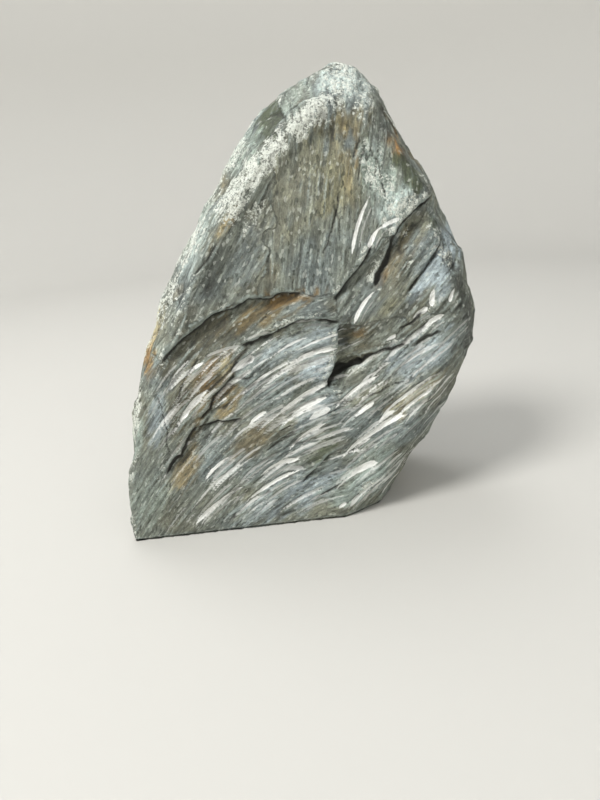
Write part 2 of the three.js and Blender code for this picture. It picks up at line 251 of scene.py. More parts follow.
# Where white crumbs of talc lie on the front: the share of crumbs, then as above. A later daub covers
# the ones before it, and a share of 0 clears a place.
TALC_DAUBS = [
    (0.85, -13, 165, 12, 6, 45, 1.0), (0.9, -3, 174, 12, 6, 45, 1.0), (0.95, 8, 182, 10, 5, 48, 1.0),
    (0.8, 18, 189, 10, 4, 25, 1.0), (0.5, 31, 196, 12, 8, -30, 1.0), (0.55, -19, 173, 8, 2.5, 60, 1.0),
    (0.75, -22, 154, 13, 8, 55, 1.0), (0.45, 43, 155, 18, 6, -66, 1.0), (0.65, 50, 146, 8, 3, 35, 1.0),
    (0.55, 28, 12, 10, 4, 30, 1.0), (0.7, -79, 61, 12, 2.4, 75, 1.0), (0.3, 62, 100, 9, 6, 40, 1.0),
    (0.15, -36, 133, 18, 6, 58, 1.0), (0.62, -43, 138, 13, 3.2, 58, 1.0),
    (0.5, -57, 115, 12, 3.5, 58, 1.0), (0.5, 68, 128, 10, 3, -65, 1.0),
    (0.0, -5, 184, 13, 5, 62, 1.0), (0.1, 6, 192, 14, 5, 38, 0.9),
    (0.45, -15, 148, 9, 4, 50, 1.0), (0.0, 52, 165, 13, 3, -62, 0.9),
]
DAUB_CORE = 0.45  # shares of a daub's size: full colour inside the first, none past the second
DAUB_EDGE = 1.25
DAUB_RAGGED = 0.75  # how far a daub's edge strays, as a share of its size

# ---- Directions of the grain ----
# On the front, the grain turns at these lines and limits.

LOWER_LEFT_TOP = [(-70, 84), (-47, 101), (-26, 111), (4, 114), (17, 112)]
RIGHT_PLATE_TOP = [(17, 112), (29, 120), (47, 135), (70, 156)]
RIGHT_FROM_X = 19
LOWER_RIGHT_BELOW_Z = 98
ALL_LOWER_BELOW_Z = 60
LEFT_EDGE_X = -14
LEFT_EDGE_Z = 112
LEFT_EDGE_LEAN = 0.2
BORDER_WOBBLE = 5.0
BORDER_WOBBLE_SIZE = 9.0
FAN_SLOPE = 0.42  # of the fan's lines where they cross x = 0, and how fast they flatten to the right
FAN_BEND = 0.0055
RIGHT_SLOPE = 0.72
RIGHT_PLATE_TILT = 48
LEFT_EDGE_TILT = 56
TOP_PLATE_TILT = 80

# The layers that end on the back slope, and this points straight across them.
LAYER_NORMAL = np.array([-0.78, 0.3, 0.55])
LAYER_NORMAL /= np.linalg.norm(LAYER_NORMAL)

# A normal's Y is -1 on the front, 0 on the edge and 1 on the back. A range is where faces of one
# kind turn into the next.
FACE_TURN = (0.25, 0.7)
SEEN_TURN = (-0.05, 0.2)
SPLIT_TURN = (0.45, 0.85)
EDGE_NORMAL_Y = 0.5  # nearer to 0, a point belongs to the edge, whose layers run up and down
SETTLED_PAST_EDGE = 0.2  # the grain jumps there, so what follows it is weak until this far past


def smoothstep(low, high, value):
    share = np.clip((value - low) / (high - low), 0, 1)
    return share * share * (3 - 2 * share)


# ---- Noise ----
# Points are divided by the size of lump that is wanted: noise(points / 15, seed) has lumps about 15 mm
# across, and noise(grain / [30, 9, 12], seed) lumps 30 mm long, 9 across the grain and 12 deep. Each
# use starts from a seed of its own.

TABLE_SIZE = 256
NOISE_GAIN = 1.6  # brings gradient noise to about -1 to 1
RIDGE_SHARPNESS = 6


def noise(points, seed):
    """Smooth random value, about -1 to 1, at each row of points."""
    draw = np.random.default_rng(seed)
    order = draw.permutation(TABLE_SIZE)
    slopes = draw.normal(size=(TABLE_SIZE, 3))
    slopes /= np.linalg.norm(slopes, axis=1, keepdims=True)
    cell = np.floor(points).astype(int)
    inside = points - cell
    share = inside**3 * (inside * (inside * 6 - 15) + 10)
    total = np.zeros(len(points))
    for corner in itertools.product((0, 1), repeat=3):
        place = (cell + corner) % TABLE_SIZE
        number = order[place[:, 0]]
        for axis in (1, 2):
            number = order[(number + place[:, axis]) % TABLE_SIZE]
        weight = np.prod(np.where(corner, share, 1 - share), axis=1)
        total += weight * np.einsum("ij,ij->i", slopes[number], inside - corner)
    return total * NOISE_GAIN


def rough_noise(points, seed, octaves=3):
    """Noise with finer, weaker copies of itself on top."""
    return sum(noise(points * 2**k, seed + k) / 2**k for k in range(octaves))


def ridge_noise(points, seed):
    """0 nearly everywhere, rising to 1 along thin random lines."""
    return np.clip(1 - np.abs(noise(points, seed)) * RIDGE_SHARPNESS, 0, 1)


# ---- The fine mesh ----

def read(collection, name, kind, width):
    """A property of each item of a Blender collection, as one row for each item."""
    values = np.zeros(len(collection) * width, kind)
    collection.foreach_get(name, values)
    return values.reshape(-1, width)


def cad_surface():
    """The points (mm) and triangles of the CAD node, with each point listed once."""
    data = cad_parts[NODE].data
    data.calc_loop_triangles()
    corners = read(data.vertices, "co", np.float64, 3).round(WELD_DECIMALS) / MM
    points, number = np.unique(corners, axis=0, return_inverse=True)
    return points, number.ravel()[read(data.loop_triangles, "vertices", np.int64, 3)]


def cross_of(points, triangles):
    """Each triangle's normal, as long as twice its area."""
    a, b, c = (points[triangles[:, k]] for k in range(3))
    return np.cross(b - a, c - a)


def sides_of(triangles, count):
    """Every side once, as a pair of points, and the numbers of each triangle's three sides."""
    ends = np.sort(triangles[:, [[0, 1], [1, 2], [2, 0]]], axis=2)
    keys, number = np.unique(ends[..., 0] * count + ends[..., 1], return_inverse=True)
    return np.stack(np.divmod(keys, count), 1), number.reshape(-1, 3)


def refine(points, triangles):
    """Halves triangles across their longest sides until each side is within its limit."""
    while True:
        sides, sides_at = sides_of(triangles, len(points))
        lengths = np.linalg.norm(points[sides[:, 0]] - points[sides[:, 1]], axis=1)
        face = cross_of(points, triangles)
        on_front = face[:, 1] < FRONT_NORMAL_Y * np.linalg.norm(face, axis=1)
        on_base = (points[triangles, 2] < ON_BASE).all(axis=1)
        limit = np.select([on_base, on_front], [BASE_EDGE, FRONT_EDGE], OTHER_EDGE)
        side_limit = np.full(len(sides), BASE_EDGE)
        np.minimum.at(side_limit, sides_at, limit[:, None])
        split = lengths > side_limit
        if not split.any():
            return points, triangles
        turn = np.argmax(lengths[sides_at], axis=1)[:, None]
        longest_first = (turn + np.arange(3)) % 3
        sides_at = np.take_along_axis(sides_at, longest_first, 1)
        # A triangle with any split side has its longest split too, which keeps the triangles plump.
        asked = sides_at[split[sides_at].any(axis=1), 0]
        while not split[asked].all():
            split[asked] = True
            asked = sides_at[split[sides_at].any(axis=1), 0]
        middle = np.full(len(sides), -1)
        middle[split] = len(points) + np.arange(split.sum())
        points = np.concatenate([points, points[sides[split]].mean(axis=1)])
        triangles = halved(np.take_along_axis(triangles, longest_first, 1), middle[sides_at])


def halved(triangles, middles):
    """Splits triangles at the middles of their sides (-1 where a side stays whole). A split triangle
    always splits its first side, and then each half may split once more."""
    whole = middles[:, 0] < 0
    a, b, c = triangles[~whole].T
    ab, bc, ca = middles[~whole].T
    parts = [triangles[whole]]
    for corners, kept in (
        ((a, ab, c), ca < 0),
        ((a, ab, ca), ca >= 0),
        ((ca, ab, c), ca >= 0),
        ((ab, b, c), bc < 0),
        ((ab, b, bc), bc >= 0),
        ((ab, bc, c), bc >= 0),
    ):
        parts.append(np.stack(corners, 1)[kept])
    return np.concatenate(parts)


class Surface:
    """The stone's fine mesh: its points (mm), triangles and sides, with the sums that need them."""

    def __init__(self, points, triangles):
        self.points = points
        self.triangles = triangles
        self.sides, _ = sides_of(triangles, len(points))
        self.on_base = points[:, 2] < ON_BASE

    def around(self, values):
        """Each point's mean of its neighbours' values."""
        count = len(self.points)
        ends, others = np.concatenate([self.sides, self.sides[:, ::-1]]).T
        total = np.stack([np.bincount(ends, column[others], count) for column in values.T], 1)
        return total / np.bincount(ends, minlength=count)[:, None]

    def smoothed(self, values, passes):
        """The values after each has moved towards its neighbours' mean this many times."""
        for _ in range(passes):
            values = values + SMOOTHING * (self.around(values) - values)
        return values

    def wear(self, passes):
        """Takes the facets off the surface, but leaves the flat base and its rim alone."""
        for _ in range(passes):
            moved = self.smoothed(self.points, 1)
            self.points = np.where(self.on_base[:, None], self.points, moved)

    def normals(self):
        face = cross_of(self.points, self.triangles)
        total = np.zeros_like(self.points)
        for corner in self.triangles.T:
            for axis in range(3):
                total[:, axis] += np.bincount(corner, face[:, axis], len(total))
        return total / np.linalg.norm(total, axis=1, keepdims=True)


# ---- Places on the front ----

def along_line(line, x, z):
    """Distance to a line of [x, z] points, positive on its right as walked; how far along the line
    that is; and how far it is to the line's end."""
    best = np.full(len(x), np.inf)
    side = np.ones(len(x))
    walked_at = np.zeros(len(x))
    walked = 0.0
    for (x0, z0), (x1, z1) in zip(line, line[1:]):
        along_x, along_z = x1 - x0, z1 - z0
        length = math.hypot(along_x, along_z)
        share = np.clip(((x - x0) * along_x + (z - z0) * along_z) / length**2, 0, 1)
        off_x = x - x0 - share * along_x
        off_z = z - z0 - share * along_z
        distance = np.hypot(off_x, off_z)
        nearer = distance < best
        best = np.where(nearer, distance, best)
        side = np.where(nearer, np.sign(off_x * along_z - off_z * along_x), side)
        walked_at = np.where(nearer, walked + share * length, walked_at)
        walked += length
    return best * side, walked_at, walked - walked_at


def bowed(x0, z0, x1, z1):
    """The middle line of a chisel stroke between two places, as points of a shallow parabola."""
    along_x, along_z = x1 - x0, z1 - z0
    points = []
    for share in np.linspace(0, 1, STROKE_STEPS + 1):
        rise = math.copysign(4 * STROKE_BOW * share * (1 - share), along_x)
        points.append((x0 + along_x * share - along_z * rise, z0 + along_z * share + along_x * rise))
    return points


def tilted(x, z, degrees):
    """Distances along and across a direction at this many degrees from the X axis."""
    turn = math.radians(degrees)
    return x * math.cos(turn) + z * math.sin(turn), z * math.cos(turn) - x * math.sin(turn)


def daub_weight(x, z, ragged, daub):
    """1 inside a tilted oval, fading to 0 past its edge, which "ragged" moves in and out."""
    _, x0, z0, half_length, half_height, tilt, strength = daub
    along, across = tilted(x - x0, z - z0, tilt)
    reach = np.hypot(along / half_length, across / half_height) + DAUB_RAGGED * ragged
    return strength * (1 - smoothstep(DAUB_CORE, DAUB_EDGE, reach))


def grain_rise(x):
    """How high a line of the grain has risen at x: the lines fan out on the left, and run straight
    from the foot of the broken plate to the right outline."""
    fan = FAN_SLOPE * x - FAN_BEND * x**2
    straight = FAN_SLOPE * RIGHT_FROM_X - FAN_BEND * RIGHT_FROM_X**2 + RIGHT_SLOPE * (x - RIGHT_FROM_X)
    return np.where(x < RIGHT_FROM_X, fan, straight)


def grain_on_front(x, z):
    """How far along and across the grain a place on the front is. The grain stands nearly upright
    in the top plate, leans along the parted plates and the left edge, and fans out below them."""
    flat = np.stack([x, 0 * x, z], 1)
    border_x = x + BORDER_WOBBLE * noise(flat / BORDER_WOBBLE_SIZE, 91)
    border_z = z + BORDER_WOBBLE * noise(flat / BORDER_WOBBLE_SIZE, 92)
    below_left_ledge = along_line(LOWER_LEFT_TOP, border_x, border_z)[0] > 0
    below_right_ledge = along_line(RIGHT_PLATE_TOP, border_x, border_z)[0] > 0
    right = x >= RIGHT_FROM_X
    lower = np.where(right, border_z < LOWER_RIGHT_BELOW_Z, below_left_ledge | (z < ALL_LOWER_BELOW_Z))
    right_plate = right & below_right_ledge
    left_edge = border_x < LEFT_EDGE_X + LEFT_EDGE_LEAN * (z - LEFT_EDGE_Z)
    zones = [lower, right_plate, left_edge]
    grains = [
        (x + FAN_SLOPE * z, z - grain_rise(x)),
        tilted(x, z, RIGHT_PLATE_TILT),
        tilted(x, z, LEFT_EDGE_TILT),
    ]
    top = tilted(x, z, TOP_PLATE_TILT)
    along = np.select(zones, [grain[0] for grain in grains], top[0])
    across = np.select(zones, [grain[1] for grain in grains], top[1])
    return along, across


# ---- Relief of the stone: heights and widths in millimetres ----

# Sloping layers that end in steps on the back: how thick, how deep their steps are, and a seed.
SLOPING_LAYERS = [(19.0, 1.2, 12), (8.0, 0.8, 13)]
LAYER_BEND = 0.7  # how many layers up or down their borders wander
SLOPING_RISER = 0.07  # the share of a layer's width over which its step drops
KEPT_OFF_FRONT = 0.8  # the share of their steps that the front goes without
SLAB_LAYER = 13  # the slab's own layers, whose ends show on its edge
SLAB_STEP = 1.3
SLAB_RISER = 0.12
LUMP_HEIGHT = 0.8  # of rough lumps where the stone broke, and how much flatter the split faces are
LUMP_FLATTENING = 0.6
LONG_LUMP_HEIGHT = 0.45

TERRACE_WIDTH = 5.2  # low terraces along the grain, the ripples and fibres on them, and fine cracks
TERRACE_HEIGHT = 0.55
TERRACE_RISER = 0.2
RIPPLE_HEIGHT = 0.2
MORE_RIPPLE_ON_FRONT = 0.15
FIBRE_HEIGHT = 0.16
HAIRLINE_DEPTH = 0.6

# Across a ledge, from its line: the crack in its foot, the worn brow above it and the bright lip.
END_TAPER = 4  # ledges and cracks fade out over this length at their ends
STEP_EDGE = (-0.4, 0.5)
FOOT_AT, FOOT_WIDTH, FOOT_DEPTH = 0.7, 0.7, 0.7
BROW_AT, BROW_WIDTH, BROW_HEIGHT = -1.6, 1.3, 0.4
LIP_AT, LIP_WIDTH = -2.2, 1.8
CRACK_SLOPE = 0.3  # how much wider than its line of painted shade a crack's groove is
FAR = 9.0  # a gap this wide or wider shows nothing
LEAST_TAPER = 0.1

# The crumbly crest: over which heights and places it starts, and how far its border strays.
CREST_Z = (165, 200)
CREST_X = (8, 24)
CREST_WOBBLE = 12
CREST_CRUMBS = 0.6
CRUMB_HEIGHT = 0.9  # how far crumbly stone stands up and down

# How much of each kind of place is white talc; on the left rim, which faces the key light, the white is
# partly a painted highlight.
TALC_ON_CORNERS = 0.3
MORE_TALC_ON_FRONT = 0.25
TALC_ON_CREST = 0.4
TALC_AND_HIGHLIGHT_ON_LEFT_RIM = 0.2
TALC_ON_LIPS = 0.5
LEFT_RIM_Z = (55, 100)

FINE_PASSES = 3  # how often a surface is smoothed to find its small and its wide bulges
WIDE_PASSES = 30
FINE_BULGE = 0.25  # how far a worn ridge stands out of its surroundings
BULGE_OFF_FRONT = 0.4  # the share of that colouring which the coarser facets off the front get


def places(surface):
    """What the relief and the colours need to know about each point of the surface."""
    normals = surface.normals()
    x, y, z = surface.points.T
    front = smoothstep(*FACE_TURN, -normals[:, 1])
    edge_to_face = np.abs(normals[:, 1])
    along_layers = np.cross(LAYER_NORMAL, [0, 1, 0])
    along_layers /= np.linalg.norm(along_layers)
    down_layers = np.cross(LAYER_NORMAL, along_layers)
    layers = surface.points @ LAYER_NORMAL
    along_front, across_front = grain_on_front(x, z)
    grain = np.select(
        [(front > 0.5)[:, None], (edge_to_face < EDGE_NORMAL_Y)[:, None]],
        [np.stack([along_front, across_front, y], 1), np.stack([z, y, x], 1)],
        np.stack([surface.points @ along_layers, layers, surface.points @ down_layers], 1),
    )
    return SimpleNamespace(
        points=surface.points,
        normals=normals,
        x=x,
        y=y,
        z=z,
        front=front,
        back=smoothstep(*FACE_TURN, normals[:, 1]),
        seen_from_front=smoothstep(*SEEN_TURN, -normals[:, 1]),
        split_face=smoothstep(*SPLIT_TURN, edge_to_face),
        settled=smoothstep(0, SETTLED_PAST_EDGE, np.abs(edge_to_face - EDGE_NORMAL_Y)),
        layers=layers,
        grain=grain,
    )


def terraces(place, riser):
    """A sawtooth: climbs from 0 to 1 over each whole number, then drops over the last "riser" of it."""
    share = place - np.floor(place)
    return np.where(share < 1 - riser, share / (1 - riser), (1 - share) / riser)


def bell(distance, width):
    return np.exp(-((distance / width) ** 2))


def broken_layers(at):
    """Layers that end one after another, and rough lumps where the stone broke across them."""
    height = np.zeros(len(at.x))
    bend = LAYER_BEND * noise(at.points / 60, 11)
    for thickness, drop, seed in SLOPING_LAYERS:
        place = at.layers / thickness + bend + 0.15 * noise(at.grain / [30, 9, 12], seed)
        patch = smoothstep(-0.1, 0.3, noise(at.points / (2.5 * thickness), seed + 4))
        height += drop * patch * (terraces(place, SLOPING_RISER) - 0.5)
    height *= 1 - KEPT_OFF_FRONT * at.front
    # Some of the slab's own layers are broken away.
    place = at.y / SLAB_LAYER + 0.8 * noise(at.points / 50, 18) + 0.08 * noise(at.points / 8, 19)
    patch = smoothstep(-0.4, 0.2, noise(at.points / 26, 20))
    height += SLAB_STEP * patch * (1 - at.split_face) * (terraces(place, SLAB_RISER) - 0.5)
    height += LUMP_HEIGHT * (1 - LUMP_FLATTENING * at.split_face) * rough_noise(at.points / 15, 21)
    long_lumps = rough_noise(at.grain / [26, 7, 10], 24, octaves=2)
    return height + LONG_LUMP_HEIGHT * at.settled * (1 - at.front) * long_lumps


def grain_relief(at):
    """Low terraces and ripples that follow the grain, and hairline cracks along it; the second value
    marks those cracks, where painted shade darkens the colour.
    """
    broken = smoothstep(-0.2, 0.4, noise(at.points / 15, 30)) * (0.3 + 0.7 * at.front)
    place = at.grain[:, 1] / TERRACE_WIDTH + 1.2 * noise(at.grain / [40, 14, 16], 31)
    height = TERRACE_HEIGHT * broken * at.settled * (terraces(place, TERRACE_RISER) - 0.5)
    ripple_height = RIPPLE_HEIGHT + MORE_RIPPLE_ON_FRONT * at.front
    height += ripple_height * rough_noise(at.grain / [24, 3.6, 9], 32)
    height += FIBRE_HEIGHT * noise(at.grain / [8, 1.7, 3], 35)
    patch = smoothstep(0.0, 0.5, noise(at.points / 14, 38))
    shaded_lines = ridge_noise(at.grain / [30, 5.0, 14] + 0.3, 37) * patch
    return height - HAIRLINE_DEPTH * shaded_lines, shaded_lines


def ledge_relief(at):
    """Where layers end or have parted: the height, the gap to the nearest crack, and how near the
    bright lip of a ledge is."""
    height = np.zeros(len(at.x))
    lip = np.zeros(len(at.x))
    nearest = np.full(len(at.x), FAR)
    flat = np.stack([at.x, 0 * at.x, at.z], 1)
    wobble = 1.3 * noise(flat / 8, 41) + 0.7 * noise(flat / 3, 42)
    ragged = 1 + 0.5 * noise(at.grain / 3, 43)
    on_faces = [(at.front, ledge) for ledge in LEDGES] + [(at.back, ledge) for ledge in BACK_LEDGES]
    for face, (line, drop, run, crack, lip_white) in on_faces:
        past, from_start, to_end = along_line(line, at.x + wobble, at.z + wobble)
        taper = smoothstep(-0.5, END_TAPER, np.minimum(from_start, to_end)) * face
        step = smoothstep(*STEP_EDGE, past) * (1 - smoothstep(STEP_EDGE[1], run, past))
        foot = FOOT_DEPTH * bell(past - FOOT_AT, FOOT_WIDTH)
        brow = BROW_HEIGHT * bell(past - BROW_AT, BROW_WIDTH)
        height -= taper * (drop * step + foot - brow)
        lip = np.maximum(lip, taper * lip_white * bell(past - LIP_AT, LIP_WIDTH))
        gap = np.abs(past - FOOT_AT) - crack * taper * ragged
        nearest = np.minimum(nearest, np.where(taper > LEAST_TAPER, gap, FAR))
    for line, width, depth in CRACKS:
        past, from_start, to_end = along_line(line, at.x + wobble, at.z + wobble)
        taper = smoothstep(0, END_TAPER, np.minimum(from_start, to_end)) * at.front
        height -= depth * taper * bell(past, width + CRACK_SLOPE)
        gap = np.abs(past) - width * taper
        nearest = np.minimum(nearest, np.where(taper > LEAST_TAPER, gap, FAR))
    return height, nearest, lip


def stroke_about(x, z, half_x, half_z, width, white):
    return x - half_x, z - half_z, x + half_x, z + half_z, width, white


def scratches():
    """Strokes drawn at random along the grain of the lower front."""
    draw = np.random.default_rng(SCRATCH_SEED)
    for _ in range(SCRATCHES):
        x, z = draw.uniform(*SCRATCH_X), draw.uniform(*SCRATCH_Z)
        slope = float(grain_rise(x + 1) - grain_rise(x))
        half = draw.uniform(*SCRATCH_LENGTH) / 2 / math.hypot(1, slope)
        width, white = draw.uniform(*SCRATCH_WIDTH), draw.uniform(*SCRATCH_WHITE)
        yield stroke_about(x, z, half, half * slope, width, white)


def companions():
    """A toothed chisel leaves a fainter furrow beside each of its bold ones."""
    for x0, z0, x1, z1, width, white in STROKES:
        offset = math.copysign(COMPANION_OFFSET * (width + COMPANION_WIDTH / 2), x1 - x0)
        length = math.hypot(x1 - x0, z1 - z0)
        x = (x0 + x1) / 2 + (z1 - z0) / length * offset
        z = (z0 + z1) / 2 + (x0 - x1) / length * offset
        half_x, half_z = (x1 - x0) / 2 * COMPANION_LENGTH, (z1 - z0) / 2 * COMPANION_LENGTH
        yield stroke_about(x, z, half_x, half_z, COMPANION_WIDTH, COMPANION_WHITE * white)


def front_points_near(at, x0, z0, x1, z1):
    """The numbers of the front's points in or near the box between two places."""
    near_x = np.abs(at.x - (x0 + x1) / 2) < abs(x1 - x0) / 2 + NEAR_STROKE
    near_z = np.abs(at.z - (z0 + z1) / 2) < abs(z1 - z0) / 2 + NEAR_STROKE
    return np.flatnonzero(near_x & near_z & (at.front > 0))


def stroke_relief(at):
    """The furrows of the chisel: the height, the gap to the nearest furrow, how white that is, and
    how near the shadow below a furrow's burr is."""
    height = np.zeros(len(at.x))
    nearest = np.full(len(at.x), FAR)
    whiteness = np.zeros(len(at.x))
    shade = np.zeros(len(at.x))
    ragged = RAGGED_STROKE * noise(at.grain / [3, 1.2, 3], 51)
    for x0, z0, x1, z1, width, white in [*scratches(), *companions(), *STROKES]:
        near = front_points_near(at, x0, z0, x1, z1)
        over_x, over_z = (x1 - x0) * STROKE_OVERRUN, (z1 - z0) * STROKE_OVERRUN
        arc = bowed(x0 - over_x, z0 - over_z, x1 + over_x, z1 + over_z)
        past, from_start, to_end = along_line(arc, at.x[near], at.z[near])
        past *= math.copysign(1, x1 - x0)
        share = from_start / (from_start + to_end)
        swell = smoothstep(0, STROKE_SWELL, share) ** SWELL_POWER
        swell *= (1 - smoothstep(STROKE_FADE, 1, share)) * at.front[near]
        furrow = FURROW_DEPTH * bell(past, FURROW_WIDTH * width)
        burr = BURR_HEIGHT * bell(past - BURR_AT * width, BURR_WIDTH * width)
        height[near] -= width * swell * (furrow - burr)
        gap = np.abs(past) - HALF_WHITE * width * swell + ragged[near]
        gap = np.where(swell > LEAST_SWELL, gap, FAR)
        # A bold stroke cuts through the fainter ones below it.
        whiteness[near] = np.where(gap < np.minimum(nearest[near], CUTS_WITHIN), white, whiteness[near])
        nearest[near] = np.minimum(nearest[near], gap)
        shadow = SHADE_STRENGTH * white * swell * bell(past - SHADE_AT * width, SHADE_WIDTH)
        shade[near] = np.maximum(shade[near], shadow)
    return height, nearest, whiteness, shade


def crest_share(at):
    """1 on the crumbly crest, fading out below it."""
    height = at.z + CREST_WOBBLE * noise(at.points / 16, 81)
    return smoothstep(*CREST_Z, height) * smoothstep(*CREST_X, at.x)


def daubed_with_talc(share, at, ragged):
    """The share of white crumbs, after those that lie in known places."""
    for daub in TALC_DAUBS:
        weight = daub_weight(at.x, at.z, ragged, daub) * at.seen_from_front
        share = share + (daub[0] - share) * weight
    return share


def crumb_relief(at, ragged):
    """Crumbly stone on the crest and under the talc."""
    share = daubed_with_talc(CREST_CRUMBS * crest_share(at), at, ragged)
    crumbs = np.abs(noise(at.points / 3.6, 55)) + 0.5 * np.abs(noise(at.points / 1.8, 56))
    return CRUMB_HEIGHT * share * (crumbs - 0.5)


def talc_share(at, bulge, lip, ragged):
    """How much of the surface is white crumbs: most on the crest, the left rim and worn corners. On the
    faces turned left, towards the key light, the white is partly a painted highlight.
    """
    corner = smoothstep(0.15, 0.7, bulge) * smoothstep(-0.5, 0.3, at.normals[:, 2])
    # Faces turned left get white as talc and partly as a painted highlight.
    left_rim = smoothstep(0.2, 0.6, -at.normals[:, 0]) * smoothstep(*LEFT_RIM_Z, at.z)
    share = (TALC_ON_CORNERS + MORE_TALC_ON_FRONT * at.seen_from_front) * corner
    share += TALC_ON_CREST * crest_share(at) + TALC_AND_HIGHLIGHT_ON_LEFT_RIM * left_rim + TALC_ON_LIPS * lip
    share *= 0.75 + 0.5 * noise(at.points / 12, 83)
    return np.clip(daubed_with_talc(share, at, ragged), 0, 1)


# ---- Colours of the stone ----

BAND_CONTRAST = 0.38  # how much lighter and darker the bands along the grain are


def mix(colours, colour, weight):
    return colours + (colour - colours) * weight[:, None]


def stone_tint(at, ragged):
    """The stone's colour at each point, with a few daubs of painted shade, before its fine grain."""
    cool = rough_noise(at.points / 30, 61)
    ochre = rough_noise(at.points / 22 + 5.0, 63)
    brown = rough_noise(at.grain / [26, 9, 14] + 8.0, 65)
    off_front = 1 - at.front
    tint = np.tile(GREY, (len(at.x), 1))
    for colour, patches, low, high, strength in (
        (BLUE_GREY, cool, 0.05, 0.5, 0.7),
        (WARM_GREY, -cool, 0.05, 0.5, 0.7),
        (OCHRE, ochre, 0.35, 0.8, 0.4 * off_front),
        (PALE_GREEN, -ochre, 0.2, 0.6, 0.6 * off_front),
        (BROWN, brown, 0.45, 0.9, 0.7 * (1 - 0.6 * at.front)),
    ):
        tint = mix(tint, colour, smoothstep(low, high, patches) * strength)
    for daub in DAUBS:
        tint = mix(tint, daub[0], daub_weight(at.x, at.z, ragged, daub) * at.seen_from_front)
    bands = rough_noise(at.grain / [34, 3.2, 12], 73) + 0.5 * noise(at.grain / [22, 1.4, 6], 76)
    return tint * (1 + BAND_CONTRAST * np.clip(bands, -1, 1))[:, None]


def shape_stone(surface):
    """Moves the surface's points to the stone's fine relief, and returns the masks of its material."""
    surface.wear(SMOOTH_PASSES)
    at = places(surface)
    grain_height, shaded_lines = grain_relief(at)
    ledge_height, crack_gap, lip = ledge_relief(at)
    stroke_height, stroke_gap, stroke_white, stroke_shade = stroke_relief(at)
    ragged = rough_noise(at.grain / [12, 4.0, 8], 71, octaves=4)
    height = broken_layers(at) + grain_height + ledge_height + stroke_height + crumb_relief(at, ragged)
    surface.points = surface.points + at.normals * (height * smoothstep(0, BASE_FADE, at.z))[:, None]
    surface.points[:, 2] = np.maximum(surface.points[:, 2], 0)
    # The sharp rim round the base is worn away, which leaves a thin dark gap above the floor.
    outward = at.normals * [1, 1, 0]
    level = np.linalg.norm(outward, axis=1)
    worn = RIM_WEAR * smoothstep(RIM_HEIGHT, 0, at.z) * smoothstep(*RIM_TURN, level)
    surface.points -= outward * worn[:, None]

    normals = surface.normals()
    fine_bulge, wide_bulge = (
        np.einsum("ij,ij->i", surface.points - surface.smoothed(surface.points, passes), normals)
        for passes in (FINE_PASSES, WIDE_PASSES)
    )
    bulge_strength = BULGE_OFF_FRONT + (1 - BULGE_OFF_FRONT) * at.front
    return {
        "tint": stone_tint(at, ragged),
        "grain": at.grain,
        "crack_gap": crack_gap,
        # Painted shade: the dark lines of hairline cracks and of the shadows below the chisel's burrs.
        "shaded_lines": np.maximum(shaded_lines, stroke_shade),
        "stroke_gap": stroke_gap,
        "stroke_white": stroke_white,
        # The talc mask holds white crumbs, and on the left rim partly a painted highlight.
        "talc": talc_share(at, wide_bulge, lip, ragged),
        "bulge": np.clip(fine_bulge / FINE_BULGE * bulge_strength, -1, 1),
    }


def add_attributes(data, masks):
    """Gives the mesh each mask as a colour, a vector or a number at each point."""
    for name, values in masks.items():
        if name == "tint":
            kind, field = "FLOAT_COLOR", "color"
            values = np.concatenate([values, np.ones((len(values), 1))], 1)
        elif values.ndim == 2:
            kind, field = "FLOAT_VECTOR", "vector"
        else:
            kind, field = "FLOAT", "value"
        attribute = data.attributes.new(name, kind, "POINT")
        attribute.data.foreach_set(field, values.astype(np.float32).ravel())


# ---- Material ----

# How often a pattern repeats in a millimetre, along the grain, across it and inwards.
STREAKS_PER_MM = (0.055, 0.75, 0.3)
FIBRES_PER_MM = (0.35, 2.2, 1.4)
CRYSTALS_PER_MM = (0.55, 1.05, 1.05)
FLECKS_PER_MM = (0.2, 1.0, 0.7)
# The same for patterns that are alike in all directions.
CRUMBS_PER_MM = 0.45
GRIT_PER_MM = 1.1
POWDER_PER_MM = 1.6
PATCHES_PER_MM = 0.09

MIX_A, MIX_B, MIX_RESULT = 6, 7, 2  # the colour sockets of a Mix node
TALC_DRYNESS = 0.25  # how much rougher white stone is
SPECULAR_LEVEL = 0.45
BUMP_STRENGTH = 0.9
BUMP_DISTANCE = 0.8 * MM


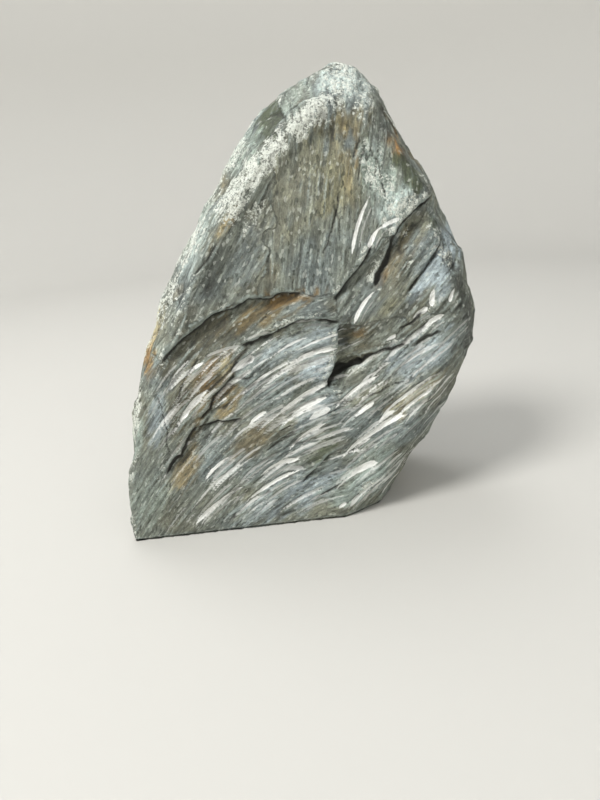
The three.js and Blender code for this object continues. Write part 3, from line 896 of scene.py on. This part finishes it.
class Nodes:
    """Short calls for the nodes of one material."""

    def __init__(self, material):
        self.tree = material.node_tree
        self.tree.nodes.clear()

    def new(self, kind, inputs=None, **settings):
        """A node with these settings, and these numbers or other nodes' outputs in its inputs."""
        node = self.tree.nodes.new("ShaderNode" + kind)
        for name, value in settings.items():
            setattr(node, name, value)
        for name, value in (inputs or {}).items():
            if isinstance(value, bpy.types.NodeSocket):
                self.tree.links.new(value, node.inputs[name])
            else:
                node.inputs[name].default_value = value
        return node

    def attribute(self, name, output="Fac"):
        return self.new("Attribute", attribute_name=name).outputs[output]

    def math(self, operation, a, b, clamp=False):
        return self.new("Math", {0: a, 1: b}, operation=operation, use_clamp=clamp).outputs[0]

    def plus(self, a, b):
        return self.math("ADD", a, b)

    def times(self, a, b):
        return self.math("MULTIPLY", a, b)

    def scaled(self, vector, scale):
        return self.new("VectorMath", {0: vector, 1: scale}, operation="MULTIPLY").outputs[0]

    def noise(self, vector, detail, roughness, scale=1.0):
        inputs = {"Vector": vector, "Scale": scale, "Detail": detail, "Roughness": roughness}
        return self.new("TexNoise", inputs).outputs["Fac"]

    def cells(self, vector, scale=1.0):
        """A random value for each grain of a cellular pattern, and the distance from its middle."""
        node = self.new("TexVoronoi", {"Vector": vector, "Scale": scale})
        parts = self.new("SeparateColor", {"Color": node.outputs["Color"]})
        return parts.outputs["Red"], node.outputs["Distance"]

    def grey(self, value):
        return self.new("CombineColor", dict.fromkeys(range(3), value)).outputs["Color"]

    def ramp(self, value, low, high, to_low=0.0, to_high=1.0):
        """A smooth step from to_low, where the value is low, to to_high, where it is high."""
        inputs = dict(enumerate((value, low, high, to_low, to_high)))
        return self.new("MapRange", inputs, interpolation_type="SMOOTHSTEP").outputs["Result"]

    def blend(self, factor, a, b, kind="MIX"):
        inputs = {"Factor": factor, MIX_A: a, MIX_B: b}
        return self.new("Mix", inputs, data_type="RGBA", blend_type=kind).outputs[MIX_RESULT]


def rgba(colour):
    return (*colour, 1.0)


def stone_patterns(nodes):
    """The fine patterns of the stone, some along its grain and some in its own place."""
    place = nodes.scaled(nodes.new("TexCoord").outputs["Object"], (1 / MM,) * 3)
    grain = nodes.attribute("grain", "Vector")
    fine = SimpleNamespace(
        streaks=nodes.noise(nodes.scaled(grain, STREAKS_PER_MM), detail=4, roughness=0.65),
        fibres=nodes.noise(nodes.scaled(grain, FIBRES_PER_MM), detail=3, roughness=0.6),
        flecks=nodes.noise(nodes.scaled(grain, FLECKS_PER_MM), detail=5, roughness=0.7),
        powder=nodes.noise(place, detail=4, roughness=0.75, scale=POWDER_PER_MM),
        patches=nodes.noise(place, detail=4, roughness=0.6, scale=PATCHES_PER_MM),
    )
    fine.crystal, _ = nodes.cells(nodes.scaled(grain, CRYSTALS_PER_MM))
    fine.crumb, fine.crumb_height = nodes.cells(place, scale=CRUMBS_PER_MM)
    fine.grit, fine.grit_height = nodes.cells(place, scale=GRIT_PER_MM)
    return fine


def bare_stone(nodes, fine):
    """The colour of stone without talc, strokes or cracks."""
    colour = nodes.attribute("tint", "Color")
    for value, low, high, dark, light in (
        (fine.streaks, 0.3, 0.7, 0.7, 1.3),
        (fine.fibres, 0.25, 0.75, 0.84, 1.16),
        (fine.crystal, 0.0, 1.0, 0.78, 1.22),
        (fine.powder, 0.3, 0.7, 0.8, 1.2),
        (fine.patches, 0.3, 0.7, 0.82, 1.16),
    ):
        shades = nodes.grey(nodes.ramp(value, low, high, dark, light))
        colour = nodes.blend(1.0, colour, shades, "MULTIPLY")
    rusty = nodes.times(nodes.ramp(fine.flecks, 0.56, 0.7, 0, 0.45), nodes.ramp(fine.patches, 0.42, 0.58))
    bulge = nodes.attribute("bulge")
    for share, other in (
        # Rusty and dark flecks that lie along the grain, dark crystals and pale flakes.
        (rusty, BROWN),
        (nodes.ramp(fine.flecks, 0.4, 0.3, 0, 0.5), DARK_GREY * 0.5),
        (nodes.ramp(fine.crystal, 0.1, 0.05, 0, 0.45), DARK_GREEN * 0.4),
        (nodes.ramp(fine.crystal, 0.93, 0.97, 0, 0.35), WHITE * 0.9),
        # Worn ridges are paler with dust, and hollows are darker with painted shade.
        (nodes.ramp(bulge, 0.1, 0.9, 0, 0.5), DUSTY),
        (nodes.ramp(bulge, -0.1, -0.9, 0, 0.7), DARK_GREY * 0.3),
    ):
        colour = nodes.blend(share, colour, rgba(other))
    return colour


def with_talc(nodes, fine, colour):
    """White crumbs of talc, with painted shade in the pits between loose ones: the colour, and how white
    it is.
    """
    talc = nodes.attribute("talc")
    share = nodes.times(talc, nodes.ramp(fine.powder, 0.3, 0.7, 0.55, 1.5))
    bare = nodes.plus(nodes.times(fine.crumb, 0.35), nodes.times(fine.grit, 0.5))
    white = nodes.ramp(nodes.math("SUBTRACT", share, bare), -0.05, 0.3, 0, 0.92)
    colour = nodes.blend(white, colour, rgba(WHITE))
    loose = nodes.ramp(nodes.times(talc, nodes.ramp(fine.powder, 0.6, 0.4)), 0.1, 0.6)
    # Painted shade: the pits between loose crumbs are darkened.
    pit_shade = nodes.times(nodes.ramp(fine.grit, 0.24, 0.1, 0, 0.8), loose)
    return nodes.blend(pit_shade, colour, rgba(DARK_GREY * 0.8)), white


def with_strokes_and_cracks(nodes, fine, colour):
    """Stone crushed white by the chisel, and painted shade in dark lines where layers have parted, in
    hairline cracks and below the chisel's burrs: the colour, and how white it is."""
    streaky_edge = nodes.times(nodes.math("SUBTRACT", fine.fibres, 0.5), 0.8)
    crushed = nodes.ramp(nodes.plus(nodes.attribute("stroke_gap"), streaky_edge), 0.15, -0.12)
    crushed = nodes.times(crushed, nodes.attribute("stroke_white"))
    crushed = nodes.times(crushed, nodes.ramp(fine.fibres, 0.34, 0.52, 0.7, 1.0))
    colour = nodes.blend(crushed, colour, rgba(CRUSHED_WHITE))
    # Painted shade darkens the cracks where layers have parted.
    crack = nodes.plus(nodes.attribute("crack_gap"), streaky_edge)
    colour = nodes.blend(nodes.ramp(crack, 0.35, -0.35, 0, 0.92), colour, rgba(CRACK_SHADE))
    # Painted shade darkens hairline cracks and the shadows below the burrs.
    shaded_lines = nodes.ramp(nodes.attribute("shaded_lines"), 0.35, 0.95, 0, 0.55)
    return nodes.blend(shaded_lines, colour, rgba(CRACK_SHADE)), crushed


def fine_bumps(nodes, fine):
    """The relief that is too fine for the mesh, deeper where talc crumbles."""
    relief = nodes.times(fine.streaks, 0.7)
    for value, weight in ((fine.fibres, 0.3), (fine.crystal, 0.25), (fine.powder, 0.5)):
        relief = nodes.plus(relief, nodes.times(value, weight))
    lumps = nodes.plus(fine.crumb_height, nodes.times(fine.grit_height, 0.5))
    lumps = nodes.times(lumps, nodes.ramp(nodes.attribute("talc"), 0, 0.5, -0.12, -0.9))
    inputs = {"Strength": BUMP_STRENGTH, "Distance": BUMP_DISTANCE, "Height": nodes.plus(relief, lumps)}
    return nodes.new("Bump", inputs).outputs["Normal"]


def stone_material():
    material = bpy.data.materials.new("soapstone")
    material.use_nodes = True
    nodes = Nodes(material)
    fine = stone_patterns(nodes)
    colour, talc = with_talc(nodes, fine, bare_stone(nodes, fine))
    colour, crushed = with_strokes_and_cracks(nodes, fine, colour)
    dry = nodes.times(nodes.math("MAXIMUM", talc, crushed), TALC_DRYNESS)
    roughness = nodes.math("ADD", nodes.ramp(fine.streaks, 0.3, 0.7, 0.48, 0.7), dry, clamp=True)
    shader = nodes.new("BsdfPrincipled", {
        "Base Color": colour,
        "Roughness": roughness,
        "Specular IOR Level": SPECULAR_LEVEL,
        "Normal": fine_bumps(nodes, fine),
    })
    nodes.new("OutputMaterial", {"Surface": shader.outputs["BSDF"]})
    return material


# ---- The stone ----

def smooth_mesh(name, points, faces):
    """A smooth-shaded mesh object in the scene, from points in metres."""
    data = bpy.data.meshes.new(name)
    data.from_pydata(points, [], faces)
    data.polygons.foreach_set("use_smooth", np.ones(len(data.polygons), bool))
    thing = bpy.data.objects.new(name, data)
    bpy.context.scene.collection.objects.link(thing)
    return thing


surface = Surface(*refine(*cad_surface()))
masks = shape_stone(surface)
stone = smooth_mesh("soapstone_surface", surface.points * MM, surface.triangles)
add_attributes(stone.data, masks)
stone.data.materials.append(stone_material())
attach(stone, "root")
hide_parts(NODE)

# ---- Stage, light and camera ----

FLOOR_RADIUS = 0.8
COVE_RADIUS = 0.4
COVE_STEPS = 12
WALL_TOP = 1.3
RING_STEPS = 96
FLOOR_COLOUR = (0.5, 0.492, 0.463, 1)
FLOOR_ROUGHNESS = 0.7
LIGHTS_AIM = Vector((0, 0, 0.1))
SKY_COLOUR = (0.93, 0.96, 1.0, 1)
SKY_STRENGTH = 0.65


def studio_bowl():
    """A pale floor that curves up into a wall all round, so that every view has a plain ground."""
    turns = np.linspace(0, math.pi / 2, COVE_STEPS + 1)
    cove = zip(FLOOR_RADIUS + COVE_RADIUS * np.sin(turns), COVE_RADIUS * (1 - np.cos(turns)))
    points = [(0, 0, 0)]
    faces = []
    for radius, height in [*cove, (FLOOR_RADIUS + COVE_RADIUS, WALL_TOP)]:
        ring = len(points)
        for step in range(RING_STEPS):
            turn = math.tau * step / RING_STEPS
            points.append((radius * math.cos(turn), radius * math.sin(turn), height))
            here, beside = ring + step, ring + (step + 1) % RING_STEPS
            inner = (0,) if ring == 1 else (beside - RING_STEPS, here - RING_STEPS)
            faces.append((here, beside, *inner))
    floor = smooth_mesh("studio_floor", points, faces)
    paint = bpy.data.materials.new("floor_paint")
    paint.use_nodes = True
    shader = paint.node_tree.nodes["Principled BSDF"]
    shader.inputs["Base Color"].default_value = FLOOR_COLOUR
    shader.inputs["Roughness"].default_value = FLOOR_ROUGHNESS
    floor.data.materials.append(paint)
    return floor


def soft_light(name, place, size, power, colour):
    lamp = bpy.data.lights.new(name, "AREA")
    lamp.shape = "DISK"
    lamp.size = size
    lamp.energy = power
    lamp.color = colour
    light = bpy.data.objects.new(name, lamp)
    light.location = place
    towards = LIGHTS_AIM - light.location
    light.rotation_mode = "QUATERNION"
    light.rotation_quaternion = towards.to_track_quat("-Z", "Y")
    bpy.context.scene.collection.objects.link(light)


studio_bowl()
soft_light("key_light", place=(-0.75, -0.55, 1.25), size=0.5, power=22, colour=(1.0, 0.99, 0.97))
soft_light("fill_light", place=(0.7, -1.0, 0.8), size=0.9, power=4.2, colour=(0.97, 0.99, 1.0))
soft_light("top_light", place=(-0.2, 0.5, 1.3), size=0.6, power=5.2, colour=(1.0, 1.0, 1.0))

scene = bpy.context.scene
world = bpy.data.worlds.new("soft_sky")
world.use_nodes = True
background = world.node_tree.nodes["Background"]
background.inputs["Color"].default_value = SKY_COLOUR
background.inputs["Strength"].default_value = SKY_STRENGTH
scene.world = world
scene.view_settings.view_transform = "Standard"

FOCAL_PIXELS = 600.0  # for an image 600 wide and 800 high
IMAGE_LONG_SIDE = 800.0
SENSOR_SIZE = 36.0
CLIP_START = 0.01
CAMERA_PLACE = (-0.8, -296.7, 165.7)
PITCH_DOWN = math.radians(21.2)
ROLL = math.radians(-4.77)

camera_data = bpy.data.cameras.new("camera")
camera_data.sensor_width = SENSOR_SIZE
camera_data.lens = SENSOR_SIZE * FOCAL_PIXELS / IMAGE_LONG_SIDE
camera_data.clip_start = CLIP_START
camera = bpy.data.objects.new("camera", camera_data)
camera.matrix_world = (
    Matrix.Translation(Vector(CAMERA_PLACE) * MM)
    @ Matrix.Rotation(math.pi / 2 - PITCH_DOWN, 4, "X")
    @ Matrix.Rotation(ROLL, 4, "Z")
)
scene.collection.objects.link(camera)
scene.camera = camera
